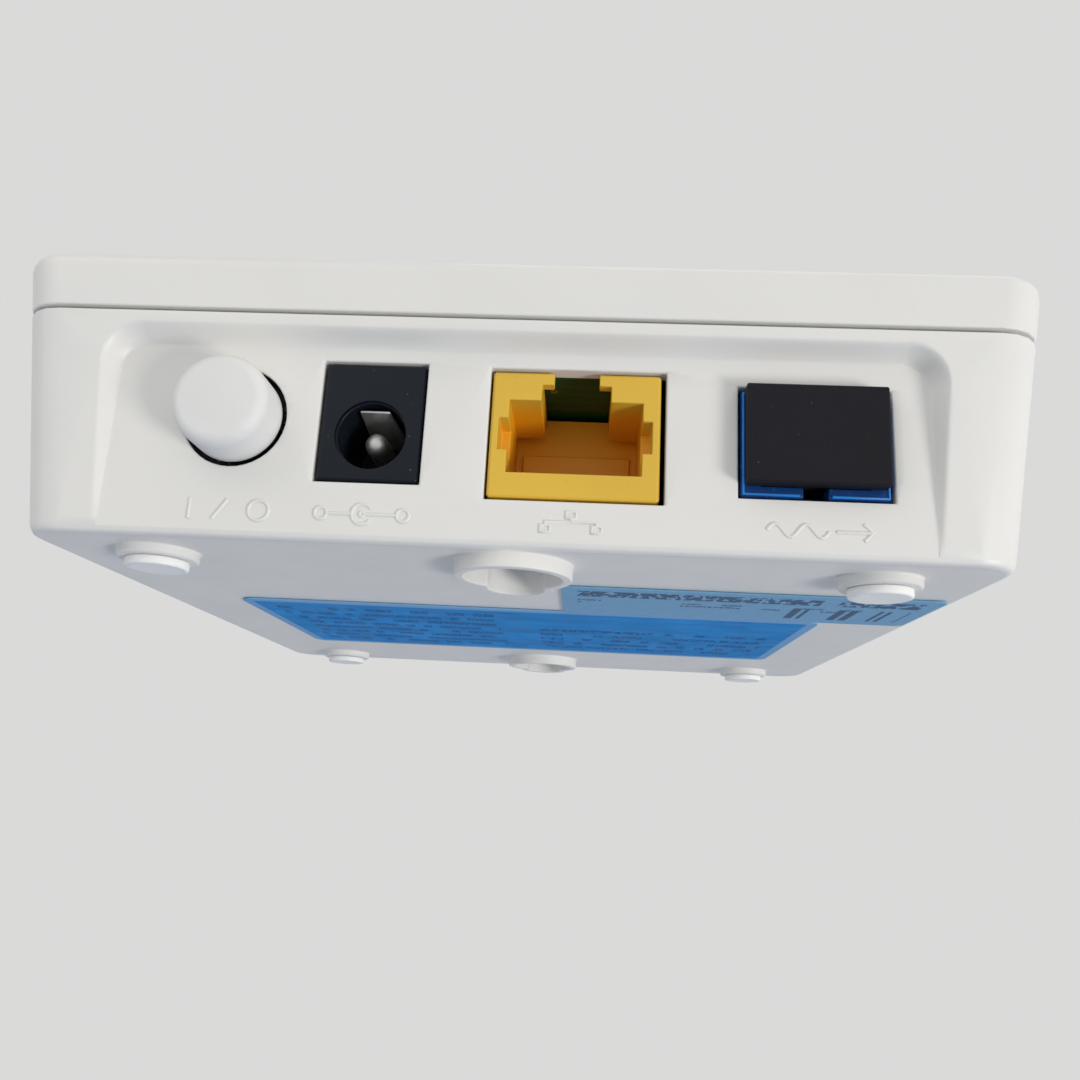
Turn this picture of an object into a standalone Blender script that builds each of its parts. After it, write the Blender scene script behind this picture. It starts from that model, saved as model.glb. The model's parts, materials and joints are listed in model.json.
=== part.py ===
"""Optical network terminal: a tapered two-part case with its ports, circuit board and moving pieces.

Metres, +Z up. The port panel faces -Y with +X to its right, and the origin lies on the resting plane
under the middle of the whole object. Most pieces are placed in port coordinates: x across, depth behind
the port panel, and height above the underside of the case.
"""

import math

import bmesh
import bpy
from mathutils import Matrix, Vector

MM = 0.001

# Case, in port coordinates
CASE_SIDE = 86.8 * MM
SEAM_SIDE = 91.2 * MM
COVER_SIDE = 92.2 * MM
SEAM_HEIGHT = 20.1 * MM
SEAM_GAP = 0.35 * MM
CASE_HEIGHT = 25.7 * MM
FLOOR = 1.5 * MM
SIDE_WALL = 1.5 * MM
PANEL_THICKNESS = 1.9 * MM
COVER_THICKNESS = 1.8 * MM
COVER_SHOULDER = 1.2 * MM
CORNER_RADIUS = 4.2 * MM
CORNER_STEPS = 5
UNDERSIDE_EDGE = 0.8 * MM
COVER_EDGE = 1.5 * MM

# Lip under the cover, which plugs into the bottom case, and its catches
LIP_THICKNESS = 1.0 * MM
LIP_CLEARANCE = 0.25 * MM
LIP_CORNER = 2.4 * MM
CATCH_DEPTHS = (25.0 * MM, 62.0 * MM)
CATCH_LENGTH = 6.0 * MM
CATCH_HEIGHT = 0.8 * MM
CATCH_REACH = 0.5 * MM
CATCH_LEVEL = 18.9 * MM

# Feet and wall hooks
BOSS_HEIGHT = 0.95 * MM
PAD_HEIGHT = 0.75 * MM
PAD_GAP = 0.05 * MM
FOOT_HEIGHT = BOSS_HEIGHT + PAD_GAP + PAD_HEIGHT
FOOT_X = 32.9 * MM
FOOT_DEPTHS = (6.4 * MM, 79.3 * MM)
BOSS_RADIUS = 3.7 * MM
PAD_RADIUS = 2.85 * MM
KEYHOLE_X = 0.15 * MM
KEYHOLE_DEPTHS = (6.1 * MM, 75.8 * MM)
KEYHOLE_RADIUS = 4.5 * MM
KEYHOLE_RIM = 0.9 * MM
KEYHOLE_RIM_HEIGHT = 1.45 * MM
SLOT_WIDTH = 5.3 * MM
SLOT_REACH = 7.3 * MM
HOOK_SPACE = 1.9 * MM
HOOK_ROOF = 0.8 * MM

# Port panel: x, height, width and height of each opening
RECESS_HALF_WIDTH = 35.85 * MM
RECESS_TOP = 17.8 * MM
RECESS_CORNER = 2.4 * MM
RECESS_SIDE_SLOPE = 0.65
RECESS_TOP_SLOPE = 0.4
BUTTON_X = -24.9 * MM
BUTTON_HEIGHT = 11.1 * MM
BUTTON_HOLE_RADIUS = 4.65 * MM
DC_PORT = (-12.65 * MM, 11.0 * MM, 9.4 * MM, 11.3 * MM)
LAN_PORT = (5.43 * MM, 10.38 * MM, 15.55 * MM, 12.15 * MM)
FIBRE_PORT = (25.95 * MM, 10.23 * MM, 13.15 * MM, 10.15 * MM)

# Moving pieces
BUTTON_RADIUS = 4.2 * MM
BUTTON_PROUD = 4.5 * MM
BUTTON_REAR = 6.0 * MM
BUTTON_FLANGE_RADIUS = 5.2 * MM
PLUNGER_SIDE = 2.9 * MM
RESET_DEPTH = 40.0 * MM
RESET_HEIGHT = 14.4 * MM
RESET_RADIUS = 0.8 * MM
CAP_PROUD = 1.6 * MM

# Board
BOARD_HALF_WIDTH = 41.0 * MM
BOARD_NEAR = 2.3 * MM
BOARD_FAR = 82.6 * MM
BOARD_UNDERSIDE = 16.7 * MM
BOARD_THICKNESS = 1.2 * MM
BOARD_TOP = BOARD_UNDERSIDE + BOARD_THICKNESS
LIP_BOTTOM = BOARD_TOP + 0.4 * MM
POST_X = 37.5 * MM
POST_DEPTHS = (8.5 * MM, 77.0 * MM)
POST_RADIUS = 2.6 * MM
PILOT_RADIUS = 1.0 * MM
MOUNT_GAP = 0.1 * MM
CHIP_DEPTH = 45.0 * MM

# Indicator lights
LIGHT_XS = (-12.0 * MM, -4.0 * MM, 4.0 * MM, 12.0 * MM)
LIGHT_DEPTH = 80.0 * MM
LIGHT_PIN_RADIUS = 0.75 * MM
LIGHT_HOLE_RADIUS = 0.95 * MM

COVER_OVERHANG = (COVER_SIDE - CASE_SIDE) / 2
PANEL_Y = -(CASE_SIDE + COVER_OVERHANG - BUTTON_PROUD) / 2


def place(x, depth, height):
    """The point at port coordinates x, depth and height."""
    return Vector((x, PANEL_Y + depth, FOOT_HEIGHT + height))


def flare(height):
    """How far the leaning walls stand out from the underside's outline at a height."""
    return (SEAM_SIDE - CASE_SIDE) / 2 * height / SEAM_HEIGHT


def start_scene():
    for old in list(bpy.data.objects):
        bpy.data.objects.remove(old)
    parts = bpy.data.collections.new("optical_network_terminal")
    tools = bpy.data.collections.new("cutters")
    tools.hide_render = True
    for collection in (parts, tools):
        bpy.context.scene.collection.children.link(collection)
    return parts, tools


PARTS, TOOLS = start_scene()


def finish(name, color, roughness, metallic=0.0):
    """A Principled material."""
    material = bpy.data.materials.new(name)
    material.use_nodes = True
    shader = material.node_tree.nodes["Principled BSDF"]
    shader.inputs["Base Color"].default_value = (*color, 1.0)
    shader.inputs["Roughness"].default_value = roughness
    shader.inputs["Metallic"].default_value = metallic
    return material


WHITE_CASE = finish("case_plastic", (0.80, 0.79, 0.76), 0.38)
WHITE_BUTTON = finish("button_plastic", (0.84, 0.83, 0.81), 0.35)
WHITE_PAD = finish("foot_pad", (0.82, 0.82, 0.80), 0.6)
BLUE_LABEL = finish("rating_label", (0.03, 0.12, 0.32), 0.3)
PALE_LABEL = finish("barcode_sticker", (0.20, 0.38, 0.55), 0.4)
BLACK_JACK = finish("black_plastic", (0.02, 0.022, 0.03), 0.35)
BLACK_CAP = finish("dust_cap_plastic", (0.018, 0.018, 0.021), 0.5)
YELLOW_JACK = finish("lan_jack_plastic", (0.78, 0.50, 0.06), 0.4)
BLUE_RECEPTACLE = finish("sc_blue_plastic", (0.01, 0.08, 0.36), 0.35)
NICKEL = finish("nickel_contact", (0.72, 0.70, 0.66), 0.25, 1.0)
GOLD = finish("gold_contact", (0.83, 0.60, 0.22), 0.25, 1.0)
STEEL = finish("steel", (0.55, 0.55, 0.56), 0.35, 1.0)
CERAMIC = finish("zirconia", (0.86, 0.85, 0.80), 0.2)
GREEN_BOARD = finish("circuit_board", (0.02, 0.16, 0.06), 0.45)
BLACK_CHIP = finish("chip_package", (0.03, 0.03, 0.033), 0.5)
GREY_PAD = finish("thermal_pad", (0.45, 0.50, 0.55), 0.8)
ALUMINIUM = finish("heat_sink_aluminium", (0.70, 0.71, 0.72), 0.4, 1.0)
CAN_SLEEVE = finish("capacitor_sleeve", (0.03, 0.04, 0.09), 0.4)
CLEAR = finish("light_guide_acrylic", (0.85, 0.88, 0.90), 0.1)
LIGHT_CASE = finish("led_package", (0.85, 0.84, 0.70), 0.3)


# Shapes


def block(corner_at):
    """A six-sided block whose corners are corner_at(x_sign, y_sign, z_sign)."""
    shape = bmesh.new()
    bmesh.ops.create_cube(shape, size=2.0)
    for vert in shape.verts:
        vert.co = corner_at(*(round(value) for value in vert.co))
    return shape


def box(width, depth, height, edge=0.0, steps=2):
    """A box about its own centre, with all its edges rounded where an edge radius is given."""
    shape = block(lambda x, y, z: (x * width / 2, y * depth / 2, z * height / 2))
    if edge:
        round_edges(shape, lambda along: True, edge, steps)
    return shape


def rod(radius, length, axis="Z", sides=24, edge=0.0, end_radius=None):
    """A cylinder or cone about its own centre, with both rims rounded where an edge radius is given."""
    shape = bmesh.new()
    tip = radius if end_radius is None else end_radius
    bmesh.ops.create_cone(shape, cap_ends=True, segments=sides, radius1=radius, radius2=tip, depth=length)
    if edge:
        round_edges(shape, lambda along: abs(along.z) < 0.01 * along.length, edge, 2)
    turns = {"X": Matrix.Rotation(math.pi / 2, 3, "Y"), "Y": Matrix.Rotation(math.pi / 2, 3, "X")}
    if axis in turns:
        bmesh.ops.rotate(shape, matrix=turns[axis], verts=shape.verts)
    return shape


def round_edges(shape, chosen, radius, steps):
    """Rounds the edges whose direction passes the chosen test."""
    edges = [edge for edge in shape.edges if chosen(edge.verts[1].co - edge.verts[0].co)]
    bmesh.ops.bevel(shape, geom=edges, offset=radius, segments=steps, profile=0.5, affect="EDGES")


def is_upright(along):
    return abs(along.z) > 0.9 * along.length


def round_rim(shape, top, radius, steps):
    """Rounds the outline of a shape's highest or lowest face."""
    face = (max if top else min)(shape.faces, key=lambda item: item.calc_center_median().z)
    bmesh.ops.bevel(shape, geom=list(face.edges), offset=radius, segments=steps, profile=0.5, affect="EDGES")


# Objects


def add(name, shape, at, material):
    """A sub-part, or a cutter when it has no material, with its origin at a place."""
    mesh = bpy.data.meshes.new(name)
    shape.to_mesh(mesh)
    shape.free()
    return add_mesh(name, mesh, at, material)


def add_mesh(name, mesh, at, material):
    item = bpy.data.objects.new(name, mesh)
    item.location = at
    if material is None:
        item.hide_render = True
        item.display_type = "WIRE"
        TOOLS.objects.link(item)
    else:
        mesh.materials.append(material)
        PARTS.objects.link(item)
    return item


def combine(target, shape, at, operation):
    """A Boolean of a part with a shape at a place."""
    tool = add(f"{target.name}_{operation.lower()}_{len(target.modifiers) + 1}", shape, at, None)
    modifier = target.modifiers.new(tool.name, "BOOLEAN")
    modifier.operation = operation
    modifier.solver = "EXACT"
    modifier.object = tool


def cut(target, shape, at):
    combine(target, shape, at, "DIFFERENCE")


def join(target, shape, at):
    combine(target, shape, at, "UNION")


def turned(name, profile, at, material, facing, sides=32):
    """A turned piece. The profile runs (radius, distance) from the front end to the rear, along facing."""
    mesh = bpy.data.meshes.new(name)
    points = [(radius, 0.0, distance) for radius, distance in profile]
    mesh.from_pydata(points, [(i, i + 1) for i in range(len(points) - 1)], [])
    item = add_mesh(name, mesh, at, material)
    item.rotation_mode = "QUATERNION"
    item.rotation_quaternion = facing.to_track_quat("Z", "Y")
    screw = item.modifiers.new("turn", "SCREW")
    screw.steps = sides
    screw.render_steps = sides
    screw.use_merge_vertices = True
    screw.merge_threshold = 0.00001
    return item


def rounded_rim(radius, distance, corner, steps=4):
    """Profile points round an outer corner, from the face in to the side."""
    angles = [math.pi / 2 * i / steps for i in range(steps + 1)]
    middle = (radius - corner, distance - corner)
    return [(middle[0] + corner * math.sin(angle), middle[1] + corner * math.cos(angle)) for angle in angles]


# Case


def case_block(low, high, corner, steps=CORNER_STEPS):
    """A block between two levels, each (half width, nearest depth, furthest depth, height)."""

    def corner_at(x, y, z):
        half_width, near, far, height = high if z > 0 else low
        return (x * half_width, far if y > 0 else near, height)

    shape = block(corner_at)
    round_edges(shape, is_upright, corner, steps)
    return shape


def leaning_level(height, inset=0.0):
    """The case's outline at a height, set in by an inset."""
    out = flare(height) - inset
    return (CASE_SIDE / 2 + out, -out, CASE_SIDE + out, height)


def make_bottom_case():
    shell = case_block(leaning_level(0.0), leaning_level(SEAM_HEIGHT), CORNER_RADIUS)
    round_rim(shell, False, UNDERSIDE_EDGE, 2)
    case = add("bottom_case", shell, place(0, 0, 0), WHITE_CASE)
    hollow_case(case)
    cut_port_panel(case)
    for x in (-FOOT_X, FOOT_X):
        for depth in FOOT_DEPTHS:
            boss = rod(BOSS_RADIUS, BOSS_HEIGHT + FLOOR / 2, edge=0.2 * MM)
            join(case, boss, place(x, depth, FLOOR / 4 - BOSS_HEIGHT / 2))
    for depth in KEYHOLE_DEPTHS:
        add_keyhole(case, depth)
    for x in (-POST_X, POST_X):
        for depth in POST_DEPTHS:
            add_board_post(case, x, depth)
    reset_hole = rod(RESET_RADIUS + 0.25 * MM, 8.0 * MM, axis="X", sides=16)
    cut(case, reset_hole, place(-SEAM_SIDE / 2, RESET_DEPTH, RESET_HEIGHT))
    for x_side in (-1, 1):
        for depth in CATCH_DEPTHS:
            add_catch_pocket(case, x_side, depth)


def hollow_case(case):
    half_width, _, far, _ = leaning_level(FLOOR, SIDE_WALL)
    low = (half_width, PANEL_THICKNESS, far, FLOOR)
    above = SEAM_HEIGHT + 1.0 * MM
    half_width, _, far, _ = leaning_level(above, SIDE_WALL)
    high = (half_width, PANEL_THICKNESS, far, above)
    cut(case, case_block(low, high, CORNER_RADIUS - SIDE_WALL, 3), place(0, 0, 0))


def cut_port_panel(case):
    reach = 4.0 * MM

    def recess_corner(x, y, z):
        out = reach if y < 0 else 0.0
        height = RECESS_TOP + out * RECESS_TOP_SLOPE if z > 0 else -2.0 * MM
        return (x * (RECESS_HALF_WIDTH + out * RECESS_SIDE_SLOPE), -out, height)

    recess = block(recess_corner)
    low_corner = [vert for vert in recess.verts if vert.co.z < 0]
    top_edges = [
        edge
        for edge in recess.edges
        if not any(vert in low_corner for vert in edge.verts)
        and abs((edge.verts[1].co - edge.verts[0].co).y) > reach / 2
    ]
    bmesh.ops.bevel(recess, geom=top_edges, offset=RECESS_CORNER, segments=4, profile=0.5, affect="EDGES")
    cut(case, recess, place(0, 0, 0))
    through = 4.0 * PANEL_THICKNESS
    cut(case, rod(BUTTON_HOLE_RADIUS, through, axis="Y", sides=40), place(BUTTON_X, 0, BUTTON_HEIGHT))
    for x, height, wide, tall in (DC_PORT, LAN_PORT, FIBRE_PORT):
        cut(case, box(wide, through, tall), place(x, 0, height))


def keyhole_shapes(depth, margin, tall, height):
    """The round end, slot and slot end of a keyhole, grown by a margin, with their places."""
    slot_end = SLOT_REACH - SLOT_WIDTH / 2
    return (
        (rod(KEYHOLE_RADIUS + margin, tall, sides=36), place(KEYHOLE_X, depth, height)),
        (box(SLOT_WIDTH + 2 * margin, slot_end, tall), place(KEYHOLE_X, depth + slot_end / 2, height)),
        (rod(SLOT_WIDTH / 2 + margin, tall, sides=32), place(KEYHOLE_X, depth + slot_end, height)),
    )


def add_keyhole(case, depth):
    """A wall hook: a raised rim round a keyhole, with a covered space inside for the screw's head."""
    rim_tall = KEYHOLE_RIM_HEIGHT + FLOOR / 2
    for shape, at in keyhole_shapes(depth, KEYHOLE_RIM, rim_tall, FLOOR / 2 - rim_tall / 2):
        join(case, shape, at)
    space_wide = 2 * KEYHOLE_RADIUS
    space_long = KEYHOLE_RADIUS + SLOT_REACH
    space_middle = depth + (SLOT_REACH - KEYHOLE_RADIUS) / 2
    cover_tall = FLOOR / 2 + HOOK_SPACE + HOOK_ROOF
    cover = box(space_wide + 2 * HOOK_ROOF, space_long + 2 * HOOK_ROOF, cover_tall)
    join(case, cover, place(KEYHOLE_X, space_middle, FLOOR / 2 + cover_tall / 2))
    cut(case, box(space_wide, space_long, HOOK_SPACE), place(KEYHOLE_X, space_middle, FLOOR + HOOK_SPACE / 2))
    top = FLOOR + HOOK_SPACE / 2
    through = top + 2 * KEYHOLE_RIM_HEIGHT
    for shape, at in keyhole_shapes(depth, 0.0, through, top - through / 2):
        cut(case, shape, at)


def add_board_post(case, x, depth):
    top = BOARD_UNDERSIDE - MOUNT_GAP
    bottom = FLOOR / 2
    join(case, rod(POST_RADIUS, top - bottom, sides=20), place(x, depth, (top + bottom) / 2))
    pilot = 8.0 * MM
    cut(case, rod(PILOT_RADIUS, pilot, sides=12), place(x, depth, top - pilot / 2 + 0.5 * MM))


def lip_face():
    """Half width of the cover's lip, which plugs into the bottom case."""
    return CASE_SIDE / 2 + flare(LIP_BOTTOM) - SIDE_WALL - LIP_CLEARANCE


def add_catch_pocket(case, x_side, depth):
    pocket = box(2.4 * CATCH_REACH + LIP_CLEARANCE, CATCH_LENGTH + 0.6 * MM, CATCH_HEIGHT + 0.5 * MM)
    cut(case, pocket, place(x_side * (lip_face() + CATCH_REACH / 2), depth, CATCH_LEVEL))


def make_top_cover():
    """The cover: leaning walls and a shoulder, from which the lip hangs into the bottom case."""
    seam = SEAM_HEIGHT + SEAM_GAP
    shoulder = seam + COVER_SHOULDER
    ceiling = CASE_HEIGHT - COVER_THICKNESS
    shell = case_block(leaning_level(seam), leaning_level(CASE_HEIGHT), CORNER_RADIUS)
    round_rim(shell, True, COVER_EDGE, 3)
    cover = add("top_cover", shell, place(0, 0, 0), WHITE_CASE)
    low, high = leaning_level(shoulder, COVER_THICKNESS), leaning_level(ceiling, COVER_THICKNESS)
    cut(cover, case_block(low, high, CORNER_RADIUS - COVER_THICKNESS, 3), place(0, 0, 0))
    half = lip_face()
    near = PANEL_THICKNESS + LIP_CLEARANCE
    far = CASE_SIDE / 2 + half
    lip_top = (seam + shoulder) / 2
    lip = case_block((half, near, far, LIP_BOTTOM), (half, near, far, lip_top), LIP_CORNER, 3)
    join(cover, lip, place(0, 0, 0))
    inner = (half - LIP_THICKNESS, near + LIP_THICKNESS, far - LIP_THICKNESS)
    low, high = (*inner, LIP_BOTTOM - LIP_THICKNESS), (*inner, shoulder + LIP_THICKNESS)
    cut(cover, case_block(low, high, LIP_CORNER - LIP_THICKNESS, 3), place(0, 0, 0))
    for x_side in (-1, 1):
        for depth in CATCH_DEPTHS:
            catch = box(2 * CATCH_REACH, CATCH_LENGTH, CATCH_HEIGHT)
            join(cover, catch, place(x_side * half, depth, CATCH_LEVEL))
    for x in LIGHT_XS:
        cut(cover, rod(LIGHT_HOLE_RADIUS, 6.0 * MM, sides=20), place(x, LIGHT_DEPTH, CASE_HEIGHT))


def make_underside_pieces():
    number = 0
    for x in (-FOOT_X, FOOT_X):
        for depth in FOOT_DEPTHS:
            number += 1
            height = -BOSS_HEIGHT - PAD_GAP - PAD_HEIGHT / 2
            pad = rod(PAD_RADIUS, PAD_HEIGHT, edge=0.15 * MM)
            add(f"foot_pad_{number}", pad, place(x, depth, height), WHITE_PAD)
    thickness = 0.2 * MM
    height = -PAD_GAP - thickness / 2
    rating = box(66.8 * MM, 34.2 * MM, thickness)
    add("rating_label", rating, place(-0.1 * MM, 46.4 * MM, height), BLUE_LABEL)
    sticker = box(37.8 * MM, 14.4 * MM, thickness)
    add("barcode_sticker", sticker, place(23.2 * MM, 21.8 * MM, height), PALE_LABEL)


# Ports


def make_dc_jack():
    x, height, wide, tall = DC_PORT
    gap = 0.2 * MM
    front = 0.2 * MM
    rear = 13.2 * MM
    axis_height = 9.85 * MM
    mouth_radius = 3.05 * MM
    body = box(wide - 2 * gap, rear - front, tall - 2 * gap, edge=0.2 * MM, steps=1)
    jack = add("dc_jack_housing", body, place(x, (front + rear) / 2, height), BLACK_JACK)
    mouth_depth = 10.0 * MM
    cut(jack, rod(mouth_radius, 2 * mouth_depth, axis="Y", sides=32), place(x, front, axis_height))
    chamfer = rod(mouth_radius + 0.5 * MM, 0.8 * MM, axis="Y", sides=32, end_radius=mouth_radius - 0.3 * MM)
    cut(jack, chamfer, place(x, front, axis_height))
    pin_radius = 1.05 * MM
    pin_front = 2.1 * MM
    pin_rear = front + mouth_depth - MOUNT_GAP
    profile = [(0.0, 0.0)]
    profile += [(pin_radius * math.sin(a), pin_radius * (math.cos(a) - 1)) for a in (0.5, 1.0, math.pi / 2)]
    profile += [(pin_radius, pin_front - pin_rear), (0.0, pin_front - pin_rear)]
    turned("dc_jack_pin", profile, place(x, pin_front, axis_height), NICKEL, Vector((0, -1, 0)), sides=20)
    leaf_front, leaf_rear = 0.9 * MM, 8.2 * MM

    def leaf_corner(side, end, face):
        """The leaf widens and comes down towards the pin as it goes in, more on its right."""
        left, right, rise = (-1.4, 2.3, 1.5) if end > 0 else (-1.3, 1.4, 2.4)
        depth = leaf_rear if end > 0 else leaf_front
        return place(x + (right if side > 0 else left) * MM, depth, axis_height + (rise + face * 0.12) * MM)

    add("dc_jack_spring_contact", block(leaf_corner), (0, 0, 0), NICKEL)


def make_lan_jack():
    """The network jack. Behind its notched front lip, the slot for a plug's latch is open to the board."""
    opening_x, opening_height, wide, tall = LAN_PORT
    body_wide = 14.9 * MM
    body_tall = 11.65 * MM
    x = opening_x - wide / 2 + 0.2 * MM + body_wide / 2
    top = opening_height + tall / 2 - 0.2 * MM
    front = 0.3 * MM
    rear = 14.8 * MM
    body = box(body_wide, rear - front, body_tall, edge=0.2 * MM, steps=1)
    jack = add("lan_jack_housing", body, place(x, (front + rear) / 2, top - body_tall / 2), YELLOW_JACK)
    floor = top - body_tall + 2.3 * MM
    before = -1.0
    plug_cavity = (11.8, (before, 11.6), (0.0, 6.7))
    side_keys = (13.5, (before, 3.6), (2.05, 5.0))
    latch_mouth = (6.15, (before, 11.6), (6.0, 8.2))
    lip_notch = (4.0, (before, 2.0), (7.0, 10.5))
    latch_slot = (6.15, (1.2, 11.6), (6.0, 10.5))
    space_behind_the_shoulders = (11.8, (9.9, 11.6), (6.0, 8.5))
    for spread, (near, far), (low, high) in (
        plug_cavity,
        side_keys,
        latch_mouth,
        lip_notch,
        latch_slot,
        space_behind_the_shoulders,
    ):
        cavity = box(spread * MM, (far - near) * MM, (high - low) * MM)
        cut(jack, cavity, place(x, front + (near + far) / 2 * MM, floor + (low + high) / 2 * MM))
    ledge_tall = 2.4 * MM
    ledge_bottom = floor + 3.0 * MM
    ledge = box(10.5 * MM, 2.0 * MM, ledge_tall)
    join(jack, ledge, place(x, front + 12.2 * MM, ledge_bottom + ledge_tall / 2))
    carrier_front = front + 10.6 * MM
    carrier_deep = 0.9 * MM
    carrier = box(9.6 * MM, carrier_deep, 2.6 * MM, edge=0.15 * MM, steps=1)
    carrier_at = place(x, carrier_front + carrier_deep / 2, floor + 1.4 * MM)
    add("lan_contact_carrier", carrier, carrier_at, BLACK_JACK)
    pitch = 1.02 * MM
    for number in range(8):
        make_lan_contact(number + 1, x + (number - 3.5) * pitch, carrier_front, floor)


def make_lan_contact(number, x, carrier_front, floor):
    """One spring wire, rising from the floor of the socket to the carrier at its rear."""
    name = f"lan_contact_{number}"
    curve = bpy.data.curves.new(name, "CURVE")
    curve.dimensions = "3D"
    curve.bevel_depth = 0.17 * MM
    curve.bevel_resolution = 1
    curve.use_fill_caps = True
    route = ((4.4, 0.35), (4.9, 0.3), (7.6, 1.15), (10.45, 2.1))
    points = [Vector((0.0, depth * MM - carrier_front + 0.3 * MM, height * MM)) for depth, height in route]
    spline = curve.splines.new("POLY")
    spline.points.add(len(points) - 1)
    for point, target in zip(spline.points, points):
        point.co = (*target, 1.0)
    wire = bpy.data.objects.new(name, curve)
    wire.location = place(x, carrier_front, floor)
    curve.materials.append(GOLD)
    PARTS.objects.link(wire)


def make_fibre_port():
    x, height, wide, tall = FIBRE_PORT
    gap = 0.2 * MM
    front = 0.25 * MM
    rear = 14.0 * MM
    body = box(wide - 2 * gap, rear - front, tall - 2 * gap, edge=0.2 * MM, steps=1)
    receptacle = add("sc_receptacle", body, place(x, (front + rear) / 2, height), BLUE_RECEPTACLE)
    socket_wide = 9.3 * MM
    socket_tall = 7.7 * MM
    socket_deep = 11.0 * MM
    cut(receptacle, box(socket_wide, 2 * socket_deep, socket_tall), place(x, front, height))
    key_slot = box(2.1 * MM, 6.0 * MM, 3.0 * MM)
    cut(receptacle, key_slot, place(x, front, height - tall / 2 + 0.5 * MM))
    cut(receptacle, rod(1.1 * MM, 8.0 * MM, axis="Y", sides=16), place(x, rear, height))
    outer = 1.6 * MM
    bore = 1.25 * MM
    length = 7.5 * MM
    profile = [(bore, 0.0), (outer, 0.0), (outer, -length), (bore, -length), (bore, 0.0)]
    at = place(x, front + socket_deep - MOUNT_GAP - length, height)
    turned("ferrule_sleeve", profile, at, CERAMIC, Vector((0, -1, 0)), sides=24)
    make_dust_cap(x, height)
    make_optics(x, height, rear)


def make_dust_cap(x, height):
    """A plug that fills the receptacle's socket, with a flat head that sits a little high."""
    head_wide = 12.0 * MM
    head_tall = 8.8 * MM
    head_at = place(x - 0.05 * MM, -CAP_PROUD / 2, height + 0.45 * MM)
    plug_rear = 9.2 * MM
    overlap = 0.6 * MM
    cap = add("optical_dust_cap", box(head_wide, CAP_PROUD, head_tall, edge=0.15 * MM), head_at, BLACK_CAP)
    plug = box(8.9 * MM, plug_rear + overlap, 7.3 * MM)
    join(cap, plug, place(x, (plug_rear - overlap) / 2, height))
    cut(cap, rod(2.2 * MM, 14.0 * MM, axis="Y", sides=24), place(x, plug_rear, height))


def make_optics(x, height, rear):
    """The transceiver behind the receptacle: a barrel with a laser on its end and a photodiode beside it."""
    barrel_front = rear + MOUNT_GAP
    barrel_length = 8.0 * MM
    barrel = rod(3.4 * MM, barrel_length, axis="Y", edge=0.2 * MM)
    add("optical_barrel", barrel, place(x, barrel_front + barrel_length / 2, height), STEEL)
    rim = 2.9 * MM
    can = 2.3 * MM
    long = 4.2 * MM
    step = -long + 0.8 * MM
    profile = [(0.0, 0.0), (can, 0.0), (can, step), (rim, step), (rim, -long), (0.0, -long)]
    laser_at = place(x, barrel_front + barrel_length + MOUNT_GAP, height)
    turned("laser_can", profile, laser_at, GOLD, Vector((0, -1, 0)), sides=24)
    detector_at = place(x + 3.4 * MM + MOUNT_GAP, barrel_front + barrel_length / 2, height)
    turned("photodiode_can", profile, detector_at, GOLD, Vector((-1, 0, 0)), sides=24)


# Buttons


def make_power_button():
    at = place(BUTTON_X, 0, BUTTON_HEIGHT)
    flange_front = -2.7 * MM
    flange_rear = -3.7 * MM
    profile = [(0.0, BUTTON_PROUD)] + rounded_rim(BUTTON_RADIUS, BUTTON_PROUD, 0.9 * MM)
    profile += [(BUTTON_RADIUS, flange_front), (BUTTON_FLANGE_RADIUS, flange_front)]
    profile += [(BUTTON_FLANGE_RADIUS, flange_rear), (BUTTON_RADIUS, flange_rear)]
    profile += [(BUTTON_RADIUS, -BUTTON_REAR), (0.0, -BUTTON_REAR)]
    button = turned("power_button", profile, at, WHITE_BUTTON, Vector((0, -1, 0)), sides=36)
    socket_side = PLUNGER_SIDE + 0.2 * MM
    socket_front = 2.6 * MM
    socket = box(socket_side, 2 * (BUTTON_REAR - socket_front), socket_side)
    cut(button, socket, place(BUTTON_X, BUTTON_REAR, BUTTON_HEIGHT))
    plunger_front = 2.8 * MM
    plunger_rear = 12.0 * MM
    plunger = box(PLUNGER_SIDE, plunger_rear - plunger_front, PLUNGER_SIDE)
    middle = place(BUTTON_X, (plunger_front + plunger_rear) / 2, BUTTON_HEIGHT)
    add("power_switch_plunger", plunger, middle, BLACK_JACK)
    switch_front = 9.5 * MM
    switch_rear = 21.0 * MM
    switch = box(8.2 * MM, switch_rear - switch_front, 8.2 * MM, edge=0.2 * MM, steps=1)
    middle = place(BUTTON_X, (switch_front + switch_rear) / 2, BUTTON_HEIGHT)
    body = add("power_switch_body", switch, middle, BLACK_JACK)
    bore_side = PLUNGER_SIDE + 0.3 * MM
    bore_depth = 5.8 * MM
    cut(body, box(bore_side, 2 * bore_depth, bore_side), place(BUTTON_X, switch_front, BUTTON_HEIGHT))


def make_reset_button():
    body_front = -39.8 * MM
    body_wide = 3.6 * MM
    tall = 4.2 * MM
    switch = box(body_wide, 6.0 * MM, tall, edge=0.1 * MM, steps=1)
    height = BOARD_UNDERSIDE - MOUNT_GAP - tall / 2
    middle = place(body_front + body_wide / 2, RESET_DEPTH, height)
    body = add("reset_switch_body", switch, middle, BLACK_JACK)
    bore = 1.6 * MM
    opening = rod(RESET_RADIUS + 0.1 * MM, 2 * bore, axis="X", sides=16)
    cut(body, opening, place(body_front, RESET_DEPTH, RESET_HEIGHT))
    tip = body_front - 1.4 * MM
    rear = body_front + bore - 0.5 * MM
    stem = rod(RESET_RADIUS, rear - tip, axis="X", sides=16)
    middle = place((tip + rear) / 2, RESET_DEPTH, RESET_HEIGHT)
    add("reset_switch_plunger", stem, middle, WHITE_BUTTON)


# Board


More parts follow.
